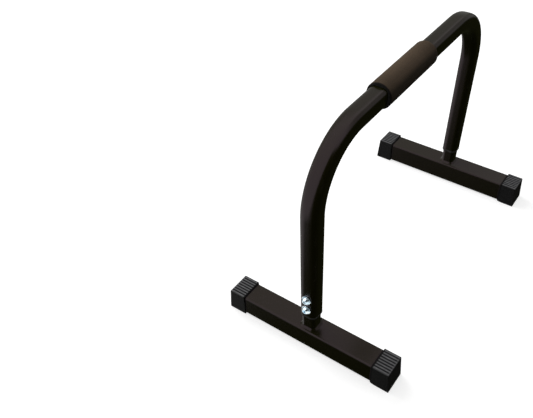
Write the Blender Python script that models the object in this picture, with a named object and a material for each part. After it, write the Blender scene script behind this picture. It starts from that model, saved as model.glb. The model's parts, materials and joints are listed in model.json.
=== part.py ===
"""Parallette bar: a bent box-section handle that stands on two capped floor feet.

Sizes are in metres and +Z is up. The origin lies on the floor under the middle of the bar,
+X runs from the front foot to the back foot, and +Y points to the bar's left, along the feet.
"""
import math

import bmesh
import bpy
from mathutils import Matrix, Vector

# Overall sizes
FEET_SPACING = 0.532
FOOT_LENGTH = 0.310
HANDLE_AXIS_HEIGHT = 0.3825

# Clearances: between faces that touch, and round a screw in its hole
SEAT_GAP = 0.0003
SCREW_CLEARANCE = 0.0005

# Handle: one box-section tube, bent twice, whose ends are the legs
HANDLE_SIZE = 0.030
HANDLE_CORNER = 0.009
HANDLE_WALL = 0.0012
BEND_RADIUS = 0.104
LEG_RISE = 0.0335

# Foam grip on the handle; its wall is the least one, over the tube's corners
GRIP_WALL = 0.00315
GRIP_LENGTH = 0.150
GRIP_OFFSET = -0.023
GRIP_LIP = 0.0025
LIP_SHARE_OF_WALL = 0.8

# Foot tube that lies on the floor, across the bar
FOOT_SIZE = 0.040
FOOT_CORNER = 0.003
FOOT_WALL = 0.002

# Plastic bush in the mouth of each leg, and the spigot that the leg slides over
BUSH_WALL = 0.0007
BUSH_FLANGE = 0.004
BUSH_OVER_SCREW = 0.012
SPIGOT_WALL = 0.002
SPIGOT_OVER_BUSH = 0.008
WELD_LEG = 0.0034
WELD_BULGE = 0.0021
WELD_TOE = 0.0004

# Button-head screw with a hexagon socket, washer and weld nut, all of size M8
SCREW_DIAMETER = 0.008
SCREW_LENGTH = 0.016
SCREW_TIP_CHAMFER = 0.001
HEAD_DIAMETER = 0.014
HEAD_HEIGHT = 0.0044
HEAD_RIM = 0.0004
HEAD_CREST = 0.0074
SOCKET_FLATS = 0.005
SOCKET_DEPTH = 0.0026
NUT_FLATS = 0.013
NUT_HEIGHT = 0.0065
WASHER_DIAMETER = 0.016
WASHER_HEIGHT = 0.0016
LOWER_SCREW_RISE = 0.0173
SCREW_PITCH = 0.023
HEAD_TURNS = (math.radians(8.0), math.radians(37.0), math.radians(21.0), math.radians(50.0))

# End cap that slips over the foot tube
CAP_LENGTH = 0.0295
CAP_SIDE_WALL = 0.0013
CAP_TOP_WALL = 0.0016
CAP_SOLE = 0.0017
CAP_END_WALL = 0.003
CAP_FLARE = 0.004
CAP_EDGE = 0.0008
HEEL_RISE = 0.003
HEEL_RUN = 0.010
SQUARE_HEEL = 0.0012
GROOVE_COUNT = 7
GROOVE_PITCH = 0.0053
GROOVE_WIDTH = 0.0022
GROOVE_DEPTH = 0.0009
TOP_GROOVE_MARGIN = 0.002
SOLE_GROOVE_MARGIN = 0.005

# Fineness of the round forms
CORNER_STEPS = 6
BEND_STEPS = 14
HEEL_STEPS = 5
LIP_STEPS = 4
EDGE_STEPS = 2
DOME_STEPS = 4
HEXAGON_POINTS = 24
SMOOTH_ANGLE = math.radians(35)
CUT_OVERRUN = 0.001
EDGE_SEARCH = 0.0001

# Heights and sizes that follow from the values above
FOOT_BOTTOM = CAP_SOLE + SEAT_GAP
FOOT_TOP = FOOT_BOTTOM + FOOT_SIZE
FOOT_TUBE_LENGTH = FOOT_LENGTH - 2 * (CAP_END_WALL + SEAT_GAP)
LEG_END = FOOT_TOP + LEG_RISE
LOWER_SCREW_HEIGHT = LEG_END + LOWER_SCREW_RISE
UPPER_SCREW_HEIGHT = LOWER_SCREW_HEIGHT + SCREW_PITCH
LEG_BORE = HANDLE_SIZE - 2 * HANDLE_WALL
LEG_BORE_CORNER = HANDLE_CORNER - HANDLE_WALL
LINER_SIZE = LEG_BORE - 2 * SEAT_GAP
LINER_CORNER = LEG_BORE_CORNER - SEAT_GAP
LINER_TOP = UPPER_SCREW_HEIGHT + BUSH_OVER_SCREW
BUSH_BORE = LINER_SIZE - 2 * BUSH_WALL
BUSH_BORE_CORNER = LINER_CORNER - BUSH_WALL
SPIGOT_SIZE = BUSH_BORE - 2 * SEAT_GAP
SPIGOT_CORNER = BUSH_BORE_CORNER - SEAT_GAP
SPIGOT_BORE = SPIGOT_SIZE - 2 * SPIGOT_WALL
SPIGOT_TOP = LINER_TOP + SPIGOT_OVER_BUSH
GRIP_BORE = HANDLE_SIZE + 2 * SEAT_GAP
GRIP_BORE_CORNER = HANDLE_CORNER + SEAT_GAP
GRIP_BORE_REACH = GRIP_BORE / math.sqrt(2) - GRIP_BORE_CORNER * (math.sqrt(2) - 1)
GRIP_DIAMETER = 2 * (GRIP_BORE_REACH + GRIP_WALL)
CAP_INNER_END = FOOT_LENGTH / 2 - CAP_LENGTH
CAP_WIDTH = FOOT_SIZE + 2 * (SEAT_GAP + CAP_SIDE_WALL)
CAP_TOP = FOOT_TOP + SEAT_GAP + CAP_TOP_WALL

# Surface colours, each with its roughness and metallic value
FINISHES = {
    "black_coat": ((0.016, 0.015, 0.013), 0.28, 0.0),
    "grip_foam": ((0.030, 0.024, 0.020), 0.80, 0.0),
    "cap_rubber": ((0.070, 0.070, 0.072), 0.62, 0.0),
    "bush_plastic": ((0.060, 0.058, 0.052), 0.50, 0.0),
    "zinc_plate": ((0.72, 0.74, 0.77), 0.28, 1.0),
}


def clear_scene():
    """Remove every object that the scene starts with."""
    for item in list(bpy.data.objects):
        bpy.data.objects.remove(item)


def finish(name, node):
    """Return a material of a named finish that belongs to one node."""
    colour, roughness, metallic = FINISHES[name]
    material = bpy.data.materials.new(f"{node}_{name}")
    material.use_nodes = True
    shader = material.node_tree.nodes["Principled BSDF"]
    shader.inputs["Base Color"].default_value = (*colour, 1.0)
    shader.inputs["Roughness"].default_value = roughness
    shader.inputs["Metallic"].default_value = metallic
    return material


def mesh_from(bm, name):
    """Turn a finished bmesh into a mesh with its faces out and its round sides smooth."""
    bmesh.ops.recalc_face_normals(bm, faces=bm.faces)
    mesh = bpy.data.meshes.new(name)
    bm.to_mesh(mesh)
    bm.free()
    mesh.shade_smooth()
    mesh.set_sharp_from_angle(angle=SMOOTH_ANGLE)
    return mesh


def place(name, mesh, finish_name, parent=None, location=(0, 0, 0), rotation=(0, 0, 0)):
    """Add one sub-part to the scene, at its place under its parent."""
    item = bpy.data.objects.new(name, mesh)
    bpy.context.collection.objects.link(item)
    item.location = location
    item.rotation_euler = rotation
    item.parent = parent
    if not mesh.materials:
        mesh.materials.append(None)
    item.material_slots[0].link = "OBJECT"
    item.material_slots[0].material = finish(finish_name, name)
    return item


def add_empty(name, location, rotation=(0, 0, 0)):
    """Add a frame that other sub-parts are placed under."""
    frame = bpy.data.objects.new(name, None)
    bpy.context.collection.objects.link(frame)
    frame.location = location
    frame.rotation_euler = rotation
    return frame


def cut(item, cutter):
    """Take a cutter's shape out of a sub-part."""
    modifier = item.modifiers.new(cutter.name, "BOOLEAN")
    modifier.operation = "DIFFERENCE"
    modifier.object = cutter


def add_cutter(name, bm, parent):
    """Add a hidden shape that only cuts other sub-parts."""
    cutter = bpy.data.objects.new(name, mesh_from(bm, name))
    bpy.context.collection.objects.link(cutter)
    cutter.parent = parent
    cutter.hide_render = True
    cutter.display_type = "WIRE"
    return cutter


# Outlines, all with their points in the same turning sense and starting at the same corner
def rounded_square(size, radius):
    """Outline of a square with round corners, as a list of (u, v)."""
    points = []
    reach = size / 2 - radius
    for corner in range(4):
        middle = math.radians(45 + 90 * corner)
        centre_u = math.copysign(reach, math.cos(middle))
        centre_v = math.copysign(reach, math.sin(middle))
        for step in range(CORNER_STEPS + 1):
            angle = math.radians(90 * corner + 90 * step / CORNER_STEPS)
            points.append((centre_u + radius * math.cos(angle), centre_v + radius * math.sin(angle)))
    return points


def circle(diameter):
    """Outline of a circle that pairs point by point with a rounded square."""
    count = 4 * (CORNER_STEPS + 1)
    turn = [2 * math.pi * (step + 0.5) / count for step in range(count)]
    return [(diameter / 2 * math.cos(angle), diameter / 2 * math.sin(angle)) for angle in turn]


def circle_on_hexagon(diameter):
    """Outline of a circle whose points pair with those of a hexagon."""
    turn = [2 * math.pi * step / HEXAGON_POINTS for step in range(HEXAGON_POINTS)]
    return [(diameter / 2 * math.cos(angle), diameter / 2 * math.sin(angle)) for angle in turn]


def hexagon(flats):
    """Outline of a hexagon, with more points along each side."""
    points = []
    for u, v in circle_on_hexagon(flats):
        from_side = math.remainder(math.atan2(v, u), math.radians(60))
        points.append((u / math.cos(from_side), v / math.cos(from_side)))
    return points


# Solids drawn from outlines
def add_ring(bm, outline, height):
    """Add one outline at a height, and return its vertices."""
    return [bm.verts.new((u, v, height)) for u, v in outline]


def skin(bm, lower, upper):
    """Join two rings with a band of faces."""
    count = len(lower)
    for index in range(count):
        after = (index + 1) % count
        bm.faces.new((lower[index], lower[after], upper[after], upper[index]))


def loft(sections, hollow):
    """Loft a solid through (outline, height) sections.

    A hollow solid's last section joins its first. A full solid is closed by a face at each end.
    """
    bm = bmesh.new()
    rings = [add_ring(bm, outline, height) for outline, height in sections]
    for lower, upper in zip(rings, rings[1:]):
        skin(bm, lower, upper)
    if hollow:
        skin(bm, rings[-1], rings[0])
    else:
        bm.faces.new(rings[0])
        bm.faces.new(rings[-1])
    return bm


def swept_skin(outline, moves, start):
    """Draw an outline along a path of straight pulls and turns, as a skin that is open at both ends.

    Each move is ("pull", vector) or ("turn", centre, axis, angle).
    """
    bm = bmesh.new()
    ring = [bm.verts.new(start @ Vector((u, v, 0))) for u, v in outline]
    loop = [bm.edges.new((ring[index - 1], ring[index])) for index in range(len(ring))]
    for kind, *values in moves:
        if kind == "pull":
            made = bmesh.ops.extrude_edge_only(bm, edges=loop)["geom"]
            verts = [part for part in made if isinstance(part, bmesh.types.BMVert)]
            bmesh.ops.translate(bm, verts=verts, vec=values[0])
        else:
            centre, axis, angle = values
            turned = bmesh.ops.spin(bm, geom=loop, cent=centre, axis=axis, angle=angle, steps=BEND_STEPS)
            made = turned["geom_last"]
        loop = [part for part in made if isinstance(part, bmesh.types.BMEdge)]
    return bm


# Handle and grip
def build_handle(screw_holes):
    """Bend the handle from one tube: leg, bend, grip bar, bend, leg."""
    leg_x = FEET_SPACING / 2
    bend_height = HANDLE_AXIS_HEIGHT - BEND_RADIUS
    leg_length = bend_height - LEG_END
    bar_length = FEET_SPACING - 2 * BEND_RADIUS
    front_centre = Vector((-leg_x + BEND_RADIUS, 0, bend_height))
    back_centre = Vector((leg_x - BEND_RADIUS, 0, bend_height))
    sideways = Vector((0, 1, 0))
    moves = [
        ("pull", Vector((0, 0, leg_length))),
        ("turn", front_centre, sideways, math.radians(90)),
        ("pull", Vector((bar_length, 0, 0))),
        ("turn", back_centre, sideways, math.radians(90)),
        ("pull", Vector((0, 0, -leg_length))),
    ]
    start = Matrix.Translation((-leg_x, 0, LEG_END))
    skin_bm = swept_skin(rounded_square(HANDLE_SIZE, HANDLE_CORNER), moves, start)
    handle = place("handle_tube", mesh_from(skin_bm, "handle_tube"), "black_coat")
    wall = handle.modifiers.new("tube_wall", "SOLIDIFY")
    wall.thickness = HANDLE_WALL
    wall.offset = -1.0
    wall.use_even_offset = True
    for hole in screw_holes:
        cut(handle, hole)


def build_grip():
    """Turn the foam grip, with round lips and a bore that hugs the square tube."""
    half = GRIP_LENGTH / 2
    bore = rounded_square(GRIP_BORE, GRIP_BORE_CORNER)
    lip_radius = min(GRIP_LIP, LIP_SHARE_OF_WALL * GRIP_WALL)
    lip = []
    for step in range(LIP_STEPS + 1):
        angle = math.radians(90 * step / LIP_STEPS)
        inset = lip_radius * (1 - math.sin(angle))
        lip.append((circle(GRIP_DIAMETER - 2 * inset), half - lip_radius * (1 - math.cos(angle))))
    lower = [(outline, -height) for outline, height in lip]
    sections = [(bore, -half)] + lower + lip[::-1] + [(bore, half)]
    mesh = mesh_from(loft(sections, hollow=True), "grip_sleeve")
    along_bar = (0, math.radians(90), 0)
    place("grip_sleeve", mesh, "grip_foam", None, (GRIP_OFFSET, 0, HANDLE_AXIS_HEIGHT), along_bar)


# Feet
def foot_tube_mesh():
    """Square tube of the foot, open at both ends."""
    outer = rounded_square(FOOT_SIZE, FOOT_CORNER)
    bore = rounded_square(FOOT_SIZE - 2 * FOOT_WALL, FOOT_CORNER - FOOT_WALL)
    half = FOOT_TUBE_LENGTH / 2
    return mesh_from(loft([(outer, -half), (outer, half), (bore, half), (bore, -half)], True), "foot_tube")


def cap_side_outline(heel_run, heel_rise):
    """Side view of a cap as (y, z): flared end, flat sole and a heel at the inner end."""
    top_outer = (FOOT_LENGTH / 2, CAP_TOP)
    toe = (FOOT_LENGTH / 2 + CAP_FLARE, 0.0)
    points = [(CAP_INNER_END, CAP_TOP), top_outer, toe]
    for step in range(HEEL_STEPS + 1):
        angle = math.radians(90 * step / HEEL_STEPS)
        y = CAP_INNER_END + heel_run * (1 - math.sin(angle))
        z = heel_rise * (1 - math.cos(angle))
        points.append((y, z))
    return points


def cap_mesh(name, heel_run, heel_rise):
    """Outer block of a cap, with its moulded edges rounded and its mouth left sharp."""
    bm = bmesh.new()
    outline = cap_side_outline(heel_run, heel_rise)
    side = bm.faces.new([bm.verts.new((-CAP_WIDTH / 2, y, z)) for y, z in outline])
    made = bmesh.ops.extrude_face_region(bm, geom=[side])["geom"]
    verts = [part for part in made if isinstance(part, bmesh.types.BMVert)]
    bmesh.ops.translate(bm, verts=verts, vec=(CAP_WIDTH, 0, 0))
    bmesh.ops.recalc_face_normals(bm, faces=bm.faces)
    outer_end = FOOT_LENGTH / 2 - EDGE_SEARCH
    mouth = CAP_INNER_END + EDGE_SEARCH
    moulded = []
    for edge in bm.edges:
        first, second = (vert.co for vert in edge.verts)
        crosses = abs(first.x - second.x) > CAP_WIDTH / 2
        at_end = min(first.y, second.y) > outer_end
        at_mouth = max(first.y, second.y) < mouth
        if at_end or not (crosses or at_mouth):
            moulded.append(edge)
    bmesh.ops.bevel(bm, geom=moulded, offset=CAP_EDGE, segments=EDGE_STEPS, profile=0.5, affect="EDGES")
    return mesh_from(bm, name)


def box(bm, low, high):
    """Add a plain box between two corners."""
    size = Vector(high) - Vector(low)
    middle = (Vector(high) + Vector(low)) / 2
    bmesh.ops.create_cube(bm, size=1.0, matrix=Matrix.Translation(middle) @ Matrix.Diagonal((*size, 1.0)))


def cap_cutter(name, parent, turn):
    """Cutter for a cap: the pocket for the tube, and the grip grooves of the top and the sole."""
    pocket_size = FOOT_SIZE + 2 * SEAT_GAP
    pocket = rounded_square(pocket_size, FOOT_CORNER + SEAT_GAP)
    mouth = CAP_INNER_END - CUT_OVERRUN
    floor = FOOT_LENGTH / 2 - CAP_END_WALL
    bm = loft([(pocket, mouth), (pocket, floor)], hollow=False)
    lay_along_y = Matrix.Translation((0, 0, FOOT_BOTTOM + FOOT_SIZE / 2)) @ Matrix.Rotation(
        math.radians(-90), 4, "X"
    )
    bmesh.ops.transform(bm, matrix=lay_along_y, verts=bm.verts)
    top_end = FOOT_LENGTH / 2 - TOP_GROOVE_MARGIN
    sole_end = FOOT_LENGTH / 2 - SOLE_GROOVE_MARGIN
    for index in range(GROOVE_COUNT):
        x = GROOVE_PITCH * (index - (GROOVE_COUNT - 1) / 2)
        left = x - GROOVE_WIDTH / 2
        right = x + GROOVE_WIDTH / 2
        box(bm, (left, mouth, CAP_TOP - GROOVE_DEPTH), (right, top_end, CAP_TOP + CUT_OVERRUN))
        box(bm, (left, mouth, -CUT_OVERRUN), (right, sole_end, GROOVE_DEPTH))
    cutter = add_cutter(name, bm, parent)
    cutter.rotation_euler = (0, 0, turn)
    return cutter


def bush_mesh():
    """Bush of the leg's mouth: a flange as wide as the leg, and a liner round the spigot."""
    flange = rounded_square(HANDLE_SIZE, HANDLE_CORNER)
    liner = rounded_square(LINER_SIZE, LINER_CORNER)
    bore = rounded_square(BUSH_BORE, BUSH_BORE_CORNER)
    flange_top = LEG_END - SEAT_GAP
    flange_bottom = flange_top - BUSH_FLANGE
    sections = [
        (flange, flange_bottom),
        (flange, flange_top),
        (liner, flange_top),
        (liner, LINER_TOP),
        (bore, LINER_TOP),
        (bore, flange_bottom),
    ]
    return mesh_from(loft(sections, hollow=True), "leg_bush")


def spigot_mesh():
    """Short tube that stands on the foot and carries the leg."""
    outer = rounded_square(SPIGOT_SIZE, SPIGOT_CORNER)
    bore = rounded_square(SPIGOT_BORE, SPIGOT_CORNER - SPIGOT_WALL)
    bottom = FOOT_TOP + SEAT_GAP
    sections = [(outer, bottom), (outer, SPIGOT_TOP), (bore, SPIGOT_TOP), (bore, bottom)]
    return mesh_from(loft(sections, hollow=True), "spigot")


def weld_mesh():
    """Fillet weld that runs round the spigot's base, slightly bulged."""
    base = FOOT_TOP + SEAT_GAP
    inner = SPIGOT_SIZE + 2 * SEAT_GAP
    corner = SPIGOT_CORNER + SEAT_GAP
    profile = [
        (0.0, 0.0),
        (WELD_LEG, 0.0),
        (WELD_LEG, WELD_TOE),
        (WELD_BULGE, WELD_BULGE),
        (WELD_TOE, WELD_LEG),
        (0.0, WELD_LEG),
    ]
    sections = [(rounded_square(inner + 2 * out, corner + out), base + up) for out, up in profile]
    return mesh_from(loft(sections, hollow=True), "weld_bead")


# Fasteners, drawn along the screw's own axis with +Z out of the leg
def dome_sections(seat):
    """Sections of the screw head's dome: a slice of a ball, from the rim to the flat crest."""
    rim = HEAD_DIAMETER / 2
    crest = HEAD_CREST / 2
    ball_middle = (rim**2 + HEAD_RIM**2 - crest**2 - HEAD_HEIGHT**2) / (2 * (HEAD_RIM - HEAD_HEIGHT))
    ball_radius = math.hypot(rim, HEAD_RIM - ball_middle)
    first = math.asin((HEAD_RIM - ball_middle) / ball_radius)
    last = math.asin((HEAD_HEIGHT - ball_middle) / ball_radius)
    sections = []
    for step in range(DOME_STEPS + 1):
        angle = first + (last - first) * step / DOME_STEPS
        outline = circle_on_hexagon(2 * ball_radius * math.cos(angle))
        sections.append((outline, seat + ball_middle + ball_radius * math.sin(angle)))
    return sections


def screw_mesh():
    """Button-head screw, with a hexagon socket in its crest and its tip turned down."""
    seat = HANDLE_SIZE / 2 + SEAT_GAP + WASHER_HEIGHT + SEAT_GAP
    tip = seat - SCREW_LENGTH
    top = seat + HEAD_HEIGHT
    shank = circle_on_hexagon(SCREW_DIAMETER)
    socket = hexagon(SOCKET_FLATS)
    sections = [
        (circle_on_hexagon(SCREW_DIAMETER - 2 * SCREW_TIP_CHAMFER), tip),
        (shank, tip + SCREW_TIP_CHAMFER),
        (shank, seat),
        (circle_on_hexagon(HEAD_DIAMETER), seat),
    ]
    sections += dome_sections(seat)
    sections += [(socket, top), (socket, top - SOCKET_DEPTH)]
    return mesh_from(loft(sections, hollow=False), "button_head_screw")


def washer_mesh():
    """Flat washer under the screw's head."""
    outer = circle(WASHER_DIAMETER)
    hole = circle(SCREW_DIAMETER + 2 * SEAT_GAP)
    seat = HANDLE_SIZE / 2 + SEAT_GAP
    top = seat + WASHER_HEIGHT
    return mesh_from(loft([(outer, seat), (outer, top), (hole, top), (hole, seat)], True), "flat_washer")


def nut_mesh():
    """Hexagon nut that is welded inside the spigot's outer wall."""
    outer = hexagon(NUT_FLATS)
    hole = circle_on_hexagon(SCREW_DIAMETER + 2 * SEAT_GAP)
    top = SPIGOT_BORE / 2 - SEAT_GAP
    bottom = top - NUT_HEIGHT
    return mesh_from(loft([(outer, bottom), (outer, top), (hole, top), (hole, bottom)], True), "weld_nut")


def screw_hole(name, frame):
    """Cutter for one screw hole, from inside the spigot's bore to outside the leg."""
    hole = circle(SCREW_DIAMETER + 2 * SCREW_CLEARANCE)
    inside = SPIGOT_BORE / 2 - CUT_OVERRUN
    outside = HANDLE_SIZE / 2 + CUT_OVERRUN
    return add_cutter(name, loft([(hole, inside), (hole, outside)], hollow=False), frame)


def screw_frames(end, sign):
    """Frames of one leg's two screws, each with +Z pointing out of the leg's outer face."""
    outward = (0, math.copysign(math.radians(90), sign), 0)
    heights = {"lower": LOWER_SCREW_HEIGHT, "upper": UPPER_SCREW_HEIGHT}
    x = sign * FEET_SPACING / 2
    return {level: add_empty(f"{end}_{level}_screw_frame", (x, 0, height), outward)
            for level, height in heights.items()}


def build_foot(end, sign, meshes, holes):
    """Build one foot with its caps, spigot, weld and bush."""
    frame = add_empty(f"{end}_foot_frame", (sign * FEET_SPACING / 2, 0, 0))
    lying = (math.radians(90), 0, 0)
    foot_axis = (0, 0, FOOT_BOTTOM + FOOT_SIZE / 2)
    place(f"{end}_foot_tube", meshes["foot_tube"], "black_coat", frame, foot_axis, lying)
    for side, turn in (("left", 0.0), ("right", math.pi)):
        name = f"{end}_{side}_foot_cap"
        cap = place(name, meshes[f"{side}_cap"], "cap_rubber", frame, rotation=(0, 0, turn))
        cut(cap, cap_cutter(f"{name}_cutter", frame, turn))
    spigot = place(f"{end}_spigot", meshes["spigot"], "black_coat", frame)
    place(f"{end}_weld_bead", meshes["weld"], "black_coat", frame)
    bush = place(f"{end}_leg_bush", meshes["bush"], "bush_plastic", frame)
    for hole in holes:
        cut(spigot, hole)
        cut(bush, hole)


def build_fasteners(end, frames, meshes, turns):
    """Add a screw, a washer and a nut in each of one leg's screw frames."""
    for (level, frame), turn in zip(frames.items(), turns):
        place(f"{end}_{level}_screw", meshes["screw"], "zinc_plate", frame, rotation=(0, 0, turn))
        place(f"{end}_{level}_washer", meshes["washer"], "zinc_plate", frame)
        flats_to_the_sides = (0, 0, math.radians(30))
        place(f"{end}_{level}_nut", meshes["nut"], "zinc_plate", frame, rotation=flats_to_the_sides)


def main():
    """Build the whole bar."""
    clear_scene()
    meshes = {
        "foot_tube": foot_tube_mesh(),
        "left_cap": cap_mesh("square_heel_cap", SQUARE_HEEL, SQUARE_HEEL),
        "right_cap": cap_mesh("round_heel_cap", HEEL_RUN, HEEL_RISE),
        "spigot": spigot_mesh(),
        "weld": weld_mesh(),
        "bush": bush_mesh(),
        "screw": screw_mesh(),
        "washer": washer_mesh(),
        "nut": nut_mesh(),
    }
    all_holes = []
    for index, (end, sign) in enumerate((("front", -1), ("back", 1))):
        frames = screw_frames(end, sign)
        holes = [screw_hole(f"{end}_{level}_screw_hole", frame) for level, frame in frames.items()]
        build_foot(end, sign, meshes, holes)
        build_fasteners(end, frames, meshes, HEAD_TURNS[2 * index:2 * index + 2])
        all_holes += holes
    build_handle(all_holes)
    build_grip()


main()
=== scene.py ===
"""Parallette bar: a bent box-section handle with a foam grip, on two capped floor feet.

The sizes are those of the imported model, in metres, with +X from the front foot to the back foot,
+Y to the bar's left and +Z up. The log says how near each piece's box is to its node's.
"""

import json
import logging
import math
from collections.abc import Callable, Iterator
from contextlib import contextmanager
from dataclasses import dataclass, field
from enum import Enum

import bmesh
import bpy
from mathutils import Matrix, Vector

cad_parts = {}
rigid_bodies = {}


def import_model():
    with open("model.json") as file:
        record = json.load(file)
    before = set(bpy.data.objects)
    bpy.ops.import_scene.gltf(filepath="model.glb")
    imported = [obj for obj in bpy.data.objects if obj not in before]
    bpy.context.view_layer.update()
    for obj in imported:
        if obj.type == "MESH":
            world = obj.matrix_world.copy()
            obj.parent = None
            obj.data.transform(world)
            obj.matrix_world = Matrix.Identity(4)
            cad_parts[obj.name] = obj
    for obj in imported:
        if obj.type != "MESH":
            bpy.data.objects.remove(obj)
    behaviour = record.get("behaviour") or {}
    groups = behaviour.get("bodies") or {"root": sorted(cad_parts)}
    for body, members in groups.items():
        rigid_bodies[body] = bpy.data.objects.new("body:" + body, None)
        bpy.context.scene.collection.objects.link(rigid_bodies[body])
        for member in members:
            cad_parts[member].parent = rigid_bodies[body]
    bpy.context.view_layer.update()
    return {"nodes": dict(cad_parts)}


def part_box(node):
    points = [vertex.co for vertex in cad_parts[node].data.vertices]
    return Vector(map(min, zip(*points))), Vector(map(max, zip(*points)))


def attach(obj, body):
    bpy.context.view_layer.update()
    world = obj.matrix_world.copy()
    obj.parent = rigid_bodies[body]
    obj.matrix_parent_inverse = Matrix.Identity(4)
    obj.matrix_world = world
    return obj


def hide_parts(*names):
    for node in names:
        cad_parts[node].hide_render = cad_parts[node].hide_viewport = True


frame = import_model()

Piece = bpy.types.Object
Spot = tuple[float, float, float]
Colour = tuple[float, float, float]

LOG = logging.getLogger("parallette")
BODY = "root"
HAIR = 0.00005  # how near two places are taken as one
TOUCHING = 0.000001  # how near two corners are merged
UNMOVED = Matrix()
FLAT = (0.0, 0.0, 0.0)
FACING_X = (0.0, math.pi / 2, 0.0)
FACING_Y = (math.pi / 2, 0.0, 0.0)

# Sizes that several sub-assemblies and finishes share
LEG_AXIS = 0.266  # from the bar's middle to a leg's axis and its foot's
LEG_SIZE = 0.030
LEG_CORNER = 0.009
CLEARANCE = 0.0003
SCREW_HOLE = 0.009
GRIP_LENGTH = 0.150
GRIP_MIDDLE = -0.023
CAP_MOUTH = 0.1255
CAP_HEIGHT = 0.0439
GROOVE_PITCH = 0.0053


class End(Enum):
    """The end of the bar that a foot is at; the front one is nearer the camera."""

    FRONT = "front"
    BACK = "back"

    @property
    def sign(self) -> int:
        """Direction of this end along X."""
        return -1 if self is End.FRONT else 1

    @property
    def place(self) -> Matrix:
        """Move from the bar's middle to this end's leg axis."""
        return Matrix.Translation((self.sign * LEG_AXIS, 0, 0))


class Side(Enum):
    """The side of the bar that an end cap is on, as seen from the front."""

    LEFT = "left"
    RIGHT = "right"


class Level(Enum):
    """Which of a leg's two screws."""

    LOWER = "lower"
    UPPER = "upper"

    @property
    def height(self) -> float:
        """Height of the screw's axis over the floor."""
        return 0.0928 if self is Level.LOWER else 0.1158


# Shader maths


class Wire:
    """A value inside a shader graph that can be used in Python arithmetic."""

    def __init__(self, graph: "Graph", socket: bpy.types.NodeSocket) -> None:
        """Keep the graph and the output socket that carries the value."""
        self.graph = graph
        self.socket = socket

    def maths(self, operation: str, *values: "Wire | float") -> "Wire":
        """Add one Math node, on the given values or on this one alone."""
        inputs = dict(enumerate(values or (self,)))
        return self.graph.node("ShaderNodeMath", {"operation": operation}, inputs)

    def __add__(self, other: "Wire | float") -> "Wire":
        """Sum."""
        return self.maths("ADD", self, other)

    def __radd__(self, other: float) -> "Wire":
        """Sum with a number on the left."""
        return self.maths("ADD", other, self)

    def __sub__(self, other: "Wire | float") -> "Wire":
        """Difference."""
        return self.maths("SUBTRACT", self, other)

    def __rsub__(self, other: float) -> "Wire":
        """Difference with a number on the left."""
        return self.maths("SUBTRACT", other, self)

    def __mul__(self, other: "Wire | float") -> "Wire":
        """Product."""
        return self.maths("MULTIPLY", self, other)

    def __rmul__(self, other: float) -> "Wire":
        """Product with a number on the left."""
        return self.maths("MULTIPLY", other, self)

    def __abs__(self) -> "Wire":
        """Size without sign."""
        return self.maths("ABSOLUTE", self)

    def rise(self, low: float, high: float) -> "Wire":
        """Smooth step.

        Args:
            low: value at which the step starts.
            high: value at which it ends; below low for a falling step.

        Returns:
            0 before the step and 1 after it.
        """
        flip = high < low
        ends = {"From Min": min(low, high), "From Max": max(low, high),
                "To Min": float(flip), "To Max": float(not flip)}
        return self.graph.node("ShaderNodeMapRange", {"interpolation_type": "SMOOTHSTEP"},
                               {"Value": self, **ends})


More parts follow.
